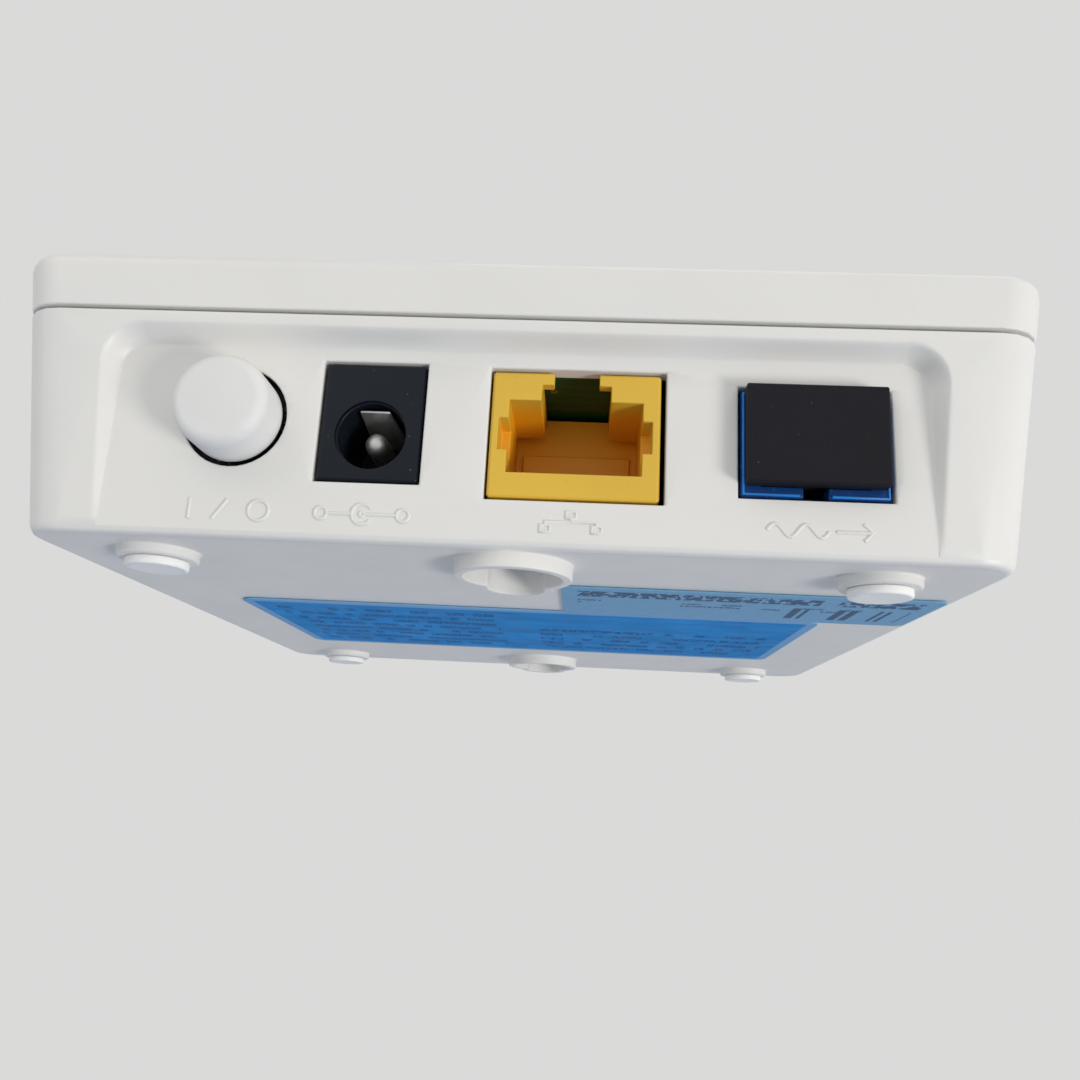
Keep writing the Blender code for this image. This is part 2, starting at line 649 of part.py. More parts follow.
def make_board():
    middle = (BOARD_NEAR + BOARD_FAR) / 2
    sheet = box(2 * BOARD_HALF_WIDTH, BOARD_FAR - BOARD_NEAR, BOARD_THICKNESS)
    board = add("main_board", sheet, place(0, middle, BOARD_UNDERSIDE + BOARD_THICKNESS / 2), GREEN_BOARD)
    number = 0
    for x in (-POST_X, POST_X):
        for depth in POST_DEPTHS:
            number += 1
            cut(board, rod(1.3 * MM, 4.0 * MM, sides=16), place(x, depth, BOARD_TOP))
            make_screw(number, x, depth)


def make_screw(number, x, depth):
    head_radius = 1.9 * MM
    head_top = 1.3 * MM
    shank = 0.85 * MM
    tip = -5.6 * MM
    profile = [(0.0, head_top)] + rounded_rim(head_radius, head_top, 0.4 * MM, 2)
    profile += [(head_radius, 0.0), (shank, 0.0), (shank, tip + 0.7 * MM), (0.0, tip)]
    at = place(x, depth, BOARD_TOP + MOUNT_GAP)
    screw = turned(f"board_screw_{number}", profile, at, STEEL, Vector((0, 0, 1)), sides=16)
    for wide, deep in ((2.4 * MM, 0.5 * MM), (0.5 * MM, 2.4 * MM)):
        cut(screw, box(wide, deep, 1.2 * MM), at + Vector((0, 0, head_top)))


def chip(name, x, depth, wide, long, tall, material=BLACK_CHIP, edge=0.15 * MM):
    """A package on top of the board."""
    package = box(wide, long, tall, edge=edge, steps=1)
    add(name, package, place(x, depth, BOARD_TOP + MOUNT_GAP + tall / 2), material)


def make_components():
    chip_tall = 1.2 * MM
    chip("main_chip", 0, CHIP_DEPTH, 14 * MM, 14 * MM, chip_tall)
    pad_tall = 0.5 * MM
    pad_height = BOARD_TOP + chip_tall + 2 * MOUNT_GAP + pad_tall / 2
    add("thermal_pad", box(12 * MM, 12 * MM, pad_tall), place(0, CHIP_DEPTH, pad_height), GREY_PAD)
    make_heat_sink(pad_height + pad_tall / 2 + MOUNT_GAP)
    chip("memory_chip", -20 * MM, 50 * MM, 9 * MM, 13 * MM, 1.1 * MM)
    chip("flash_chip", 19 * MM, 52 * MM, 5.3 * MM, 5.3 * MM, 1.8 * MM)
    chip("power_converter_chip", -14 * MM, 34 * MM, 5 * MM, 4 * MM, 1.5 * MM)
    chip("laser_driver_chip", 26 * MM, 30 * MM, 5 * MM, 5 * MM, 0.9 * MM)
    chip("lan_transformer", 5.5 * MM, 23 * MM, 12.7 * MM, 7 * MM, 5.0 * MM)
    chip("power_inductor", -23 * MM, 31 * MM, 7.3 * MM, 7.3 * MM, 4.0 * MM, edge=1.2 * MM)
    chip("crystal", 19 * MM, 38 * MM, 11 * MM, 4.5 * MM, 3.5 * MM, STEEL, edge=1.2 * MM)
    for number, (x, depth) in enumerate(((-12 * MM, 24 * MM), (-3 * MM, 27 * MM)), start=1):
        can_tall = 10.5 * MM
        height = BOARD_UNDERSIDE - MOUNT_GAP - can_tall / 2
        can = rod(3.15 * MM, can_tall, edge=0.4 * MM)
        add(f"capacitor_{number}", can, place(x, depth, height), CAN_SLEEVE)


def make_heat_sink(underside):
    side = 22 * MM
    top = CASE_HEIGHT - COVER_THICKNESS - 0.7 * MM
    tall = top - underside
    sink = add("heat_sink", box(side, side, tall), place(0, CHIP_DEPTH, underside + tall / 2), ALUMINIUM)
    web = 1.0 * MM
    grooves = 5
    pitch = side / (grooves + 0.5)
    for index in range(grooves):
        x = (index - (grooves - 1) / 2) * pitch
        groove = box(pitch * 0.62, side + 2 * MM, tall)
        cut(sink, groove, place(x, CHIP_DEPTH, underside + web + tall / 2))


def make_indicator_lights():
    light_tall = 0.9 * MM
    for number, x in enumerate(LIGHT_XS, start=1):
        chip(f"status_led_{number}", x, LIGHT_DEPTH, 1.6 * MM, 1.2 * MM, light_tall, LIGHT_CASE)
    bar_tall = 1.2 * MM
    bar_height = BOARD_TOP + light_tall + 4 * MOUNT_GAP + bar_tall / 2
    bar = box(LIGHT_XS[-1] - LIGHT_XS[0] + 4 * MM, 2.6 * MM, bar_tall, edge=0.2 * MM, steps=1)
    guide = add("light_guide", bar, place(0, LIGHT_DEPTH, bar_height), CLEAR)
    top = CASE_HEIGHT - 0.1 * MM
    for x in LIGHT_XS:
        pin_tall = top - bar_height
        join(guide, rod(LIGHT_PIN_RADIUS, pin_tall, sides=16), place(x, LIGHT_DEPTH, (top + bar_height) / 2))


make_bottom_case()
make_top_cover()
make_underside_pieces()
make_dc_jack()
make_lan_jack()
make_fibre_port()
make_power_button()
make_reset_button()
make_board()
make_components()
make_indicator_lights()
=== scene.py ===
"""Looks of the optical network terminal: fine surfaces, materials, light and the camera.

Metres, +Z up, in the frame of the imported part: the port panel faces -Y with +X to its right.
"""

import json
import math

import bmesh
import bpy
from mathutils import Matrix, Vector


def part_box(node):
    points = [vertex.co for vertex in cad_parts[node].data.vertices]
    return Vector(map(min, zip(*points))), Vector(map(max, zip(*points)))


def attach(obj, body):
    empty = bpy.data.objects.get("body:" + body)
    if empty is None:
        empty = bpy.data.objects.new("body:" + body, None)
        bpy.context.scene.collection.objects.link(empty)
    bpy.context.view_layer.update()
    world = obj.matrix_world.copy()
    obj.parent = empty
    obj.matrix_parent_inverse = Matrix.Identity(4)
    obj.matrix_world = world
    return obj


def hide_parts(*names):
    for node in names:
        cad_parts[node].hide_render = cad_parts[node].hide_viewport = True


MM = 0.001

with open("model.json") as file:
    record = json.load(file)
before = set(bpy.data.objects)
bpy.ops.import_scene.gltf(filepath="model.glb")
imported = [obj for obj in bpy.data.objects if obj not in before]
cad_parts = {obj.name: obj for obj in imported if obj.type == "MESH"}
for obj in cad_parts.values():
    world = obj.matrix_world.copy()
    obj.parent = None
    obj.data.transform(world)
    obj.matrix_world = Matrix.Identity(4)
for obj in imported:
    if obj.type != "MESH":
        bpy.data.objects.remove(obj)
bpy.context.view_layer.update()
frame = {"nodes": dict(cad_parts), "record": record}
NODES = frame["nodes"]
BODIES = frame["record"]["behaviour"]["bodies"]
BODY_OF = {node: body for body, nodes in BODIES.items() for node in nodes}
SLOT_OF = {part["node"]: part["material_slot"] for part in frame["record"]["subparts"]}

# Camera: close under the port panel, looking up and a little to the left, and slightly tilted
CAMERA_PLACE = Vector((6.9, -119.45, -16.65)) * MM
CAMERA_TURN = math.radians(3.08)
CAMERA_PITCH = math.radians(14.02)
CAMERA_TILT = math.radians(2.98)
CAMERA_LENS = 31.33
SENSOR_WIDTH = 36.0
CLIP_START = 5 * MM

# The case's underside and its leaning front wall, and the recess in it that holds the port panel
TINY = 0.01 * MM
LABEL_SINK = 0.05 * MM
JACK_SET_BACK = 0.2 * MM
CASE_LOW, CASE_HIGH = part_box("bottom_case")
UNDERSIDE_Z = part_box("rating_label")[1].z + LABEL_SINK
PANEL_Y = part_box("dc_jack_housing")[0].y - JACK_SET_BACK
CASE_POINTS = [vert.co for vert in NODES["bottom_case"].data.vertices]
PANEL_POINTS = [point for point in CASE_POINTS if abs(point.y - PANEL_Y) < TINY]
LEAN = (PANEL_Y - CASE_LOW.y) / (CASE_HIGH.z - UNDERSIDE_Z)
RECESS_CORNER = 2.4 * MM
RECESS_TOP = max(point.z for point in PANEL_POINTS)
RECESS_SIDES = [abs(point.x) for point in PANEL_POINTS if point.z > UNDERSIDE_Z + RECESS_CORNER]
RECESS_HALF_WIDTH = max(RECESS_SIDES)

# The slope round the recess: where it starts inside the outline, how wide it is at the bottom and at
# the top, the height where it begins, and the steps of the grid that it is cut into
SLOPE_START = -0.1 * MM
SLOPE_WIDTH_LOW = 0.4 * MM
SLOPE_WIDTH_TOP = 1.45 * MM
SLOPE_LOW_Z = UNDERSIDE_Z + 0.9 * MM
SLOPE_STEP = 0.2 * MM
SIDE_STEP = 0.75 * MM

# Edges and corners of the refined pieces
CASE_EDGE = 0.16 * MM
FINE_EDGE = 0.1 * MM
FILM_EDGE = 0.05 * MM
RATING_LABEL_CORNER = 1.6 * MM
BARCODE_STICKER_CORNER = 0.9 * MM
ROUND_SIDES = 96
PIN_SIDES = 48
WELD = 0.001 * MM
FLAT_ANGLE = math.radians(0.3)
CORNER_ANGLE = math.radians(26)
RIM_ANGLE = math.radians(60)
SMOOTH_ANGLE = math.radians(38)


# Node materials

USUAL_NOISE = (0.3, 0.7)


class Finish:
    """A node material, written one node at a time, in the part's own coordinates in metres."""

    def __init__(self, name, **values):
        self.material = bpy.data.materials.new(name)
        self.material.use_nodes = True
        self.tree = self.material.node_tree
        self.shader = self.tree.nodes["Principled BSDF"]
        for socket, value in values.items():
            self.set(socket.replace("_", " ").title().replace("Ior", "IOR"), value)
        self.place = self.node("ShaderNodeTexCoord").outputs["Object"]

    def set(self, socket, value):
        self.give(self.shader.inputs[socket], value)

    def give(self, socket, value):
        """Links a socket to another's output, or sets its number or colour."""
        if isinstance(value, bpy.types.NodeSocket):
            self.tree.links.new(value, socket)
        elif isinstance(value, tuple) and len(value) == 3 and socket.type == "RGBA":
            socket.default_value = (*value, 1.0)
        else:
            socket.default_value = value

    def node(self, kind, inputs=None, **settings):
        made = self.tree.nodes.new(kind)
        for setting, value in settings.items():
            setattr(made, setting, value)
        for socket, value in (inputs or {}).items():
            self.give(made.inputs[socket], value)
        return made

    def math(self, operation, first, second=0.0):
        return self.node("ShaderNodeMath", {0: first, 1: second}, operation=operation).outputs[0]

    def axis(self, name, place=None):
        parts = self.node("ShaderNodeSeparateXYZ", {0: place or self.place})
        return parts.outputs[name]

    def mapped(self, location=(0, 0, 0), scale=(1, 1, 1)):
        """Coordinates moved so that location is their origin, and then scaled."""
        moved = self.node("ShaderNodeVectorMath", {0: self.place, 1: location}, operation="SUBTRACT")
        inputs = {0: moved.outputs[0], 1: scale}
        return self.node("ShaderNodeVectorMath", inputs, operation="MULTIPLY").outputs[0]

    def length(self, place):
        made = self.node("ShaderNodeVectorMath", {0: place}, operation="LENGTH")
        return made.outputs["Value"]

    def dice(self, dimensions, socket, value):
        """A number from 0 to 1 for each value: scattered, but the same in every run."""
        made = self.node("ShaderNodeTexWhiteNoise", {socket: value}, noise_dimensions=dimensions)
        return made.outputs["Value"]

    def all_of(self, *masks):
        """The product of masks, which is 1 only where every one of them is."""
        product = masks[0]
        for mask in masks[1:]:
            product = self.math("MULTIPLY", product, mask)
        return product

    def noise(self, size, detail, stretch=(1, 1, 1)):
        """Noise whose grains are about this size, longer along an axis where stretch is over 1."""
        place = self.mapped(scale=tuple(1 / value for value in stretch))
        inputs = {"Vector": place, "Scale": 1 / size, "Detail": detail}
        return self.node("ShaderNodeTexNoise", inputs).outputs["Fac"]

    def ranged(self, value, low, high, to_low=0.0, to_high=1.0):
        inputs = {"Value": value, "From Min": low, "From Max": high}
        inputs |= {"To Min": to_low, "To Max": to_high}
        return self.node("ShaderNodeMapRange", inputs).outputs["Result"]

    def spread(self, noise, to_low=0.0, to_high=1.0):
        """Spreads the values that a noise has most of over a range."""
        return self.ranged(noise, *USUAL_NOISE, to_low, to_high)

    def mix(self, share, first, second):
        made = self.node("ShaderNodeMix", data_type="RGBA")
        for socket, value in ((0, share), (6, first), (7, second)):
            self.give(made.inputs[socket], value)
        return made.outputs[2]

    def bump(self, height, distance, strength, below=None):
        inputs = {"Height": height, "Distance": distance, "Strength": strength}
        if below:
            inputs["Normal"] = below
        return self.node("ShaderNodeBump", inputs).outputs["Normal"]


DUST = (0.36, 0.37, 0.40)
MOTE_SIZE = 0.22 * MM
DUST_PATCH_SIZE = 2.5 * MM
CLOUD_SIZE = 9 * MM
SPECK_SIZE = 0.6 * MM
HANDLED_SIZE = 4 * MM
WAVE_SIZE = 6 * MM
WAVE_DEPTH = 0.02 * MM
SKIN_DEPTH = 1.2 * MM
SKIN_RADIUS = (0.6, 0.55, 0.5)
COAT_ROUGHNESS = 0.2


def tint(color, by):
    return tuple(min(1.0, value * by) for value in color)


def moulded(
    name,
    color,
    roughness,
    grain=0.14 * MM,
    depth=0.004 * MM,
    cloud=0.02,
    subsurface=0.0,
    coat=0.0,
    painted_shade=None,
    dust=0.0,
    gloss=0.5,
    bore=None,
):
    """Moulded plastic: a fine spark-eroded grain, faint flow clouding and slightly uneven gloss.

    A painted shade, given as (colour, start, end), takes over between two places along Y: a darker
    colour painted deeper in, where shade falls. Where there is a bore, given as (centre, radius, end
    along Y), it does so only inside that bore. Dust is a share of pale specks on the surface.
    """
    finish = Finish(name)
    clouds = finish.noise(CLOUD_SIZE, 3)
    specks = finish.noise(SPECK_SIZE, 2)
    body = finish.mix(finish.spread(clouds), tint(color, 1 - cloud), tint(color, 1 + cloud))
    # painted shade: past the start along Y the colour turns to the darker one, standing in for the shade
    # inside the part
    if painted_shade:
        shade_color, start, end = painted_shade
        deep = finish.ranged(finish.axis("Y"), start, end)
        if bore:
            centre, radius, bore_end = bore
            from_axis = finish.length(finish.mapped(centre, (1, 0, 1)))
            near_axis = finish.math("LESS_THAN", from_axis, radius)
            deep = finish.all_of(deep, near_axis, finish.math("LESS_THAN", finish.axis("Y"), bore_end))
        body = finish.mix(deep, body, shade_color)
    speckled = finish.ranged(specks, 0.62, 0.75, 0.0, 0.35)
    body = finish.mix(speckled, body, tint(color, 1 - 3 * cloud))
    if dust:
        motes = finish.ranged(finish.noise(MOTE_SIZE, 1), 0.80 - dust, 0.84 - dust, 0.0, 0.55)
        patches = finish.ranged(finish.noise(DUST_PATCH_SIZE, 2), 0.5, 0.62)
        body = finish.mix(finish.all_of(motes, patches), body, DUST)
    finish.set("Base Color", body)
    finish.set("Specular IOR Level", gloss)
    handled = finish.noise(HANDLED_SIZE, 4)
    finish.set("Roughness", finish.spread(handled, roughness - 0.05, roughness + 0.06))
    waves = finish.bump(finish.noise(WAVE_SIZE, 1), WAVE_DEPTH, 0.5)
    finish.set("Normal", finish.bump(finish.noise(grain, 2), depth, 0.7, waves))
    if subsurface:
        finish.set("Subsurface Weight", subsurface)
        finish.set("Subsurface Radius", SKIN_RADIUS)
        finish.set("Subsurface Scale", SKIN_DEPTH)
    if coat:
        finish.set("Coat Weight", coat)
        finish.set("Coat Roughness", COAT_ROUGHNESS)
    return finish.material


def metal(name, color, roughness, stretch=(1, 1, 1), depth=0.003 * MM):
    """Metal with drawn or rolled streaks and a slightly dulled skin."""
    finish = Finish(name, metallic=1.0)
    dull = finish.noise(1.5 * MM, 3)
    finish.set("Base Color", finish.mix(finish.ranged(dull, 0.35, 0.7), color, tint(color, 0.82)))
    streaks = finish.noise(0.12 * MM, 3, stretch)
    finish.set("Roughness", finish.spread(streaks, roughness - 0.07, roughness + 0.1))
    finish.set("Normal", finish.bump(streaks, depth, 0.6))
    return finish.material


def inside_box(finish, low, high):
    """A mask that is 1 between two corners of a node's box, seen along Z."""
    limits = []
    for name, least, most in (("X", low.x, high.x), ("Y", low.y, high.y)):
        at = finish.axis(name)
        limits += [finish.math("GREATER_THAN", at, least), finish.math("LESS_THAN", at, most)]
    return finish.all_of(*limits)


# Where the marks of a printed row begin and end in its pitch, and how much of a stroke is broken away
ROW_FOOT, ROW_HEAD = 0.2, 0.75
STROKE_BREAK = 0.46


def printed_rows(finish, low, high, rows, ink_share, letter, stroke, seed=0.0):
    """Rows of broken marks between two corners, as small print looks from afar."""
    pitch = (high.y - low.y) / rows
    row = finish.math("DIVIDE", finish.axis("Y", finish.mapped((0, low.y, 0))), pitch)
    within = finish.math("FRACT", row)
    above_foot = finish.math("GREATER_THAN", within, ROW_FOOT)
    below_head = finish.math("LESS_THAN", within, ROW_HEAD)
    cell = finish.math("FLOOR", finish.math("DIVIDE", finish.axis("X"), letter))
    point = finish.node("ShaderNodeCombineXYZ", {0: cell, 1: finish.math("FLOOR", row), 2: seed})
    inked = finish.math("LESS_THAN", finish.dice("3D", "Vector", point.outputs[0]), ink_share)
    broken = finish.math("GREATER_THAN", finish.noise(stroke, 2, (1, 2, 1)), STROKE_BREAK)
    return finish.all_of(above_foot, below_head, inked, broken, inside_box(finish, low, high))


def inset(low, high, margin):
    """Two corners moved towards each other by a margin."""
    step = Vector((margin, margin, 0))
    return low + step, high - step


def rating_label_finish():
    """Blue film with rows of small print in darker ink, a pale edge and a soft sheen."""
    blue, ink, edge = (0.015, 0.29, 0.72), (0.008, 0.12, 0.36), (0.20, 0.42, 0.70)
    finish = Finish("rating_label")
    finish.set("Specular IOR Level", 0.03)
    low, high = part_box("rating_label")
    clouds = finish.spread(finish.noise(7 * MM, 3))
    streaks = finish.ranged(finish.noise(2.2 * MM, 3, (6, 1, 1)), 0.35, 0.65)
    film = finish.mix(clouds, tint(blue, 0.85), tint(blue, 1.15))
    film = finish.mix(finish.math("MULTIPLY", streaks, 0.45), film, tint(blue, 0.6))
    text_low, text_high = inset(low, high, 3.0 * MM)
    middle = (text_low.x + text_high.x) / 2
    left_high = Vector((middle - 4 * MM, text_high.y, 0))
    right_low = Vector((middle + 1 * MM, text_low.y + 9 * MM, 0))
    left_print = printed_rows(
        finish, text_low, left_high, rows=8, ink_share=0.72, letter=1.1 * MM, stroke=0.3 * MM
    )
    right_print = printed_rows(
        finish, right_low, text_high, rows=5, ink_share=0.6, letter=1.3 * MM, stroke=0.34 * MM, seed=3.0
    )
    printed = finish.mix(finish.math("MAXIMUM", left_print, right_print), film, ink)
    body = inside_box(finish, *inset(low, high, 1.2 * MM))
    finish.set("Base Color", finish.mix(body, edge, printed))
    finish.set("Roughness", finish.spread(finish.noise(2.5 * MM, 3), 0.5, 0.64))
    finish.set("Normal", finish.bump(finish.noise(3 * MM, 3), 0.03 * MM, 0.5))
    return finish.material


def barcode_finish():
    """Pale blue paper with a bold row of marks, a strip of bars and small print, all random strokes."""
    paper, ink = (0.18, 0.40, 0.62), (0.015, 0.06, 0.15)
    finish = Finish("barcode_sticker")
    finish.set("Specular IOR Level", 0.08)
    low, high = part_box("barcode_sticker")
    fibres = finish.spread(finish.noise(0.5 * MM, 4))
    sheet = finish.mix(fibres, tint(paper, 0.94), tint(paper, 1.06))
    margin, bar = 1.6 * MM, 0.42 * MM
    left, right = low.x + margin, high.x - margin
    bold_low, bold_high = Vector((left, low.y + 0.3 * MM, 0)), Vector((right, low.y + 5.6 * MM, 0))
    bold = printed_rows(
        finish, bold_low, bold_high, rows=1, ink_share=0.95, letter=1.7 * MM, stroke=0.7 * MM, seed=4.0
    )
    small_low, small_high = Vector((left, bold_high.y, 0)), Vector((right, bold_high.y + 2.6 * MM, 0))
    small = printed_rows(
        finish, small_low, small_high, rows=2, ink_share=0.42, letter=2.1 * MM, stroke=0.3 * MM, seed=9.0
    )
    cell = finish.math("FLOOR", finish.math("DIVIDE", finish.axis("X"), bar))
    dark_bar = finish.math("LESS_THAN", finish.dice("1D", "W", cell), 0.5)
    bar_low = Vector((right - 12 * MM, bold_high.y + 0.4 * MM, 0))
    bar_high = Vector((right, high.y - 2.2 * MM, 0))
    bars = finish.all_of(inside_box(finish, bar_low, bar_high), dark_bar)
    inked = finish.math("MAXIMUM", bars, finish.math("MAXIMUM", bold, small))
    finish.set("Base Color", finish.mix(finish.math("MULTIPLY", inked, 0.85), sheet, ink))
    finish.set("Roughness", finish.spread(finish.noise(1.5 * MM, 3), 0.45, 0.58))
    finish.set("Normal", finish.bump(finish.noise(0.3 * MM, 3), 0.004 * MM, 0.6))
    return finish.material


def board_finish():
    """Green solder mask over copper: stepped tracks, plated holes and a slight weave."""
    mask, track = (0.0015, 0.058, 0.014), (0.003, 0.085, 0.022)
    plated, hole_shade = (0.30, 0.27, 0.11), (0.01, 0.01, 0.01)
    hole_pitch = 3.4 * MM
    finish = Finish("circuit_board", roughness=0.45, coat_weight=0.1, coat_roughness=0.3)
    finish.set("Specular IOR Level", 0.2)
    flat = finish.mapped(scale=(1, 1, 0))
    tracks = finish.node(
        "ShaderNodeTexBrick",
        {
            "Vector": flat,
            "Scale": 1 / (14 * MM),
            "Mortar Size": 0.018,
            "Brick Width": 0.9,
            "Row Height": 0.13,
        },
        offset=0.37,
    )
    tracked = finish.mix(tracks.outputs["Fac"], mask, track)
    cells = finish.node("ShaderNodeTexVoronoi", {"Vector": flat, "Scale": 1 / hole_pitch}, feature="F1")
    from_hole = cells.outputs["Distance"]
    ring = finish.math("LESS_THAN", from_hole, 0.12)
    hole = finish.math("LESS_THAN", from_hole, 0.05)
    # painted shade: each hole is a near black disc standing in for the shade inside a drilled hole
    finish.set("Base Color", finish.mix(hole, finish.mix(ring, tracked, plated), hole_shade))
    finish.set("Metallic", finish.math("MULTIPLY", finish.math("SUBTRACT", ring, hole), 0.9))
    raised = finish.bump(tracks.outputs["Fac"], 0.03 * MM, 0.6)
    finish.set("Normal", finish.bump(finish.noise(0.4 * MM, 2), 0.006 * MM, 0.5, raised))
    return finish.material


def capacitor_finish():
    """A dark shrunk sleeve with a pale band down one side, open over the can's bright end."""
    sleeve, band, can = (0.02, 0.028, 0.07), (0.45, 0.47, 0.52), (0.6, 0.6, 0.6)
    band_half_width, band_reach, bare_radius = 1.1 * MM, 0.8 * MM, 2.3 * MM
    finish = Finish("capacitor_sleeve", roughness=0.35)
    bands, from_axis = [], []
    for node in ("capacitor_1", "capacitor_2"):
        low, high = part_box(node)
        centre = (low + high) / 2
        beside = finish.mapped((low.x, centre.y, 0))
        across = finish.math("ABSOLUTE", finish.axis("Y", beside))
        inward = finish.math("ABSOLUTE", finish.axis("X", beside))
        near_side = finish.math("LESS_THAN", across, band_half_width)
        bands.append(finish.all_of(near_side, finish.math("LESS_THAN", inward, band_reach)))
        from_axis.append(finish.length(finish.mapped((centre.x, centre.y, 0), (1, 1, 0))))
    wrapped = finish.mix(finish.math("MAXIMUM", *bands), sleeve, band)
    bare = finish.math("LESS_THAN", finish.math("MINIMUM", *from_axis), bare_radius)
    finish.set("Base Color", finish.mix(bare, wrapped, can))
    finish.set("Metallic", bare)
    finish.set("Normal", finish.bump(finish.noise(1.2 * MM, 2), 0.02 * MM, 0.5))
    return finish.material


def light_guide_finish():
    """Clear acrylic with a faint tint and softly frosted surfaces."""
    finish = Finish("light_guide_acrylic", transmission_weight=0.75, ior=1.49)
    cloud = finish.spread(finish.noise(2 * MM, 3))
    finish.set("Base Color", finish.mix(cloud, (0.80, 0.86, 0.88), (0.90, 0.93, 0.94)))
    finish.set("Roughness", finish.spread(finish.noise(0.3 * MM, 2), 0.12, 0.3))
    finish.set("Normal", finish.bump(finish.noise(0.15 * MM, 2), 0.003 * MM, 0.5))
    return finish.material


WHITE = (0.775, 0.765, 0.735)
# near black painted as shade inside the power button's hole, on the case and on the button
SHADE = (0.03, 0.03, 0.03)
BUTTON_CENTRE = sum(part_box("power_button"), Vector()) / 2
# where the painted shade goes on the case: the bore round the power button
BUTTON_BORE = (BUTTON_CENTRE, 5.6 * MM, PANEL_Y + 8 * MM)
FINISHES = {
    "case_plastic": moulded(
        "case_plastic",
        WHITE,
        0.42,
        cloud=0.012,
        subsurface=0.06,
        # painted shade: the case turns near black inside the power button's bore, the shade in the gap
        # round the button
        painted_shade=(SHADE, PANEL_Y + 0.15 * MM, PANEL_Y + 0.6 * MM),
        bore=BUTTON_BORE,
    ),
    "button_plastic": moulded(
        "button_plastic",
        (0.755, 0.755, 0.74),
        0.5,
        depth=0.002 * MM,
        subsurface=0.08,
        # painted shade: the button turns near black behind the panel's face, inside its hole
        painted_shade=(SHADE, PANEL_Y + 0.1 * MM, PANEL_Y + 0.7 * MM),
        gloss=0.3,
    ),
    "foot_pad": moulded(
        "foot_pad", (0.97, 0.955, 0.90), 0.6, grain=0.3 * MM, depth=0.01 * MM, subsurface=0.5
    ),
    "rating_label": rating_label_finish(),
    "barcode_sticker": barcode_finish(),
    "black_plastic": moulded(
        "black_plastic",
        (0.008, 0.011, 0.017),
        0.36,
        depth=0.005 * MM,
        cloud=0.1,
        dust=0.055,
        gloss=0.2,
    ),
    "dust_cap_plastic": moulded(
        "dust_cap_plastic",
        (0.0100, 0.0095, 0.0135),
        0.55,
        grain=0.2 * MM,
        cloud=0.12,
        dust=0.02,
        gloss=0.18,
    ),
    "lan_jack_plastic": moulded(
        "lan_jack_plastic",
        (0.72, 0.455, 0.044),
        0.42,
        cloud=0.03,
        # painted shade: deeper in the jack the orange turns darker and more saturated, as in its shaded
        # hollow
        painted_shade=((0.84, 0.38, 0.006), PANEL_Y + 0.8 * MM, PANEL_Y + 4.5 * MM),
        dust=0.01,
    ),
    "sc_blue_plastic": moulded(
        "sc_blue_plastic",
        (0.027, 0.235, 0.72),
        0.32,
        cloud=0.05,
        # painted shade: the receptacle's face and all behind it turn dark navy; only the bead's front
        # keeps the bright blue, a painted highlight line
        painted_shade=((0.006, 0.045, 0.18), PANEL_Y + 0.19 * MM, PANEL_Y + 0.25 * MM),
        gloss=0.3,
    ),
    "nickel_contact": metal("nickel_contact", (0.80, 0.785, 0.75), 0.5, (1, 12, 1)),
    "gold_contact": metal("gold_contact", (0.83, 0.60, 0.22), 0.24, (1, 12, 1)),
    "steel": metal("steel", (0.55, 0.55, 0.56), 0.34, (1, 1, 8)),
    "zirconia": moulded(
        "zirconia", (0.86, 0.85, 0.80), 0.16, grain=0.05 * MM, depth=0.001 * MM, coat=0.5
    ),
    "circuit_board": board_finish(),
    "chip_package": moulded(
        "chip_package", (0.028, 0.028, 0.031), 0.5, grain=0.08 * MM, depth=0.01 * MM, cloud=0.2
    ),
    "thermal_pad": moulded(
        "thermal_pad", (0.40, 0.46, 0.52), 0.75, grain=0.3 * MM, depth=0.03 * MM, cloud=0.05
    ),
    "heat_sink_aluminium": metal(
        "heat_sink_aluminium", (0.66, 0.67, 0.69), 0.38, (1, 30, 1), 0.006 * MM
    ),
    "capacitor_sleeve": capacitor_finish(),
    "led_package": moulded(
        "led_package", (0.85, 0.82, 0.62), 0.3, grain=0.06 * MM, cloud=0.04, coat=0.5
    ),
    "light_guide_acrylic": light_guide_finish(),
}


# Meshes


def welded_copy(node):
    """A CAD node's surface as a bmesh, with its corners welded and its flat faces whole."""
    shape = bmesh.new()
    shape.from_mesh(NODES[node].data)
    bmesh.ops.remove_doubles(shape, verts=shape.verts, dist=WELD)
    bmesh.ops.dissolve_limit(shape, angle_limit=FLAT_ANGLE, verts=shape.verts, edges=shape.edges)
    return shape


def is_corner(edge, least=CORNER_ANGLE):
    return len(edge.link_faces) == 2 and edge.calc_face_angle() > least


def rounded(shape, edges, width, steps=2):
    bmesh.ops.bevel(
        shape, geom=edges, offset=width, segments=steps, profile=0.5, affect="EDGES", loop_slide=True
    )


def put(name, shape, slot, body, *replaced):
    """A finished piece on a body: smooth, with even normals on its flat faces."""
    mesh = bpy.data.meshes.new(name)
    bmesh.ops.recalc_face_normals(shape, faces=shape.faces)
    shape.to_mesh(mesh)
    shape.free()
    mesh.shade_smooth()
    mesh.set_sharp_from_angle(angle=SMOOTH_ANGLE)
    mesh.materials.append(FINISHES[slot])
    piece = bpy.data.objects.new(name, mesh)
    bpy.context.scene.collection.objects.link(piece)
    even = piece.modifiers.new("even_normals", "WEIGHTED_NORMAL")
    even.keep_sharp = True
    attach(piece, body)
    if replaced:
        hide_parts(*replaced)
    return piece


def refine(node, edge):
    """A node's own shape with its corners rounded."""
    shape = welded_copy(node)
    rounded(shape, [item for item in shape.edges if is_corner(item)], edge)
    put(f"{node}_surface", shape, SLOT_OF[node], BODY_OF[node], node)


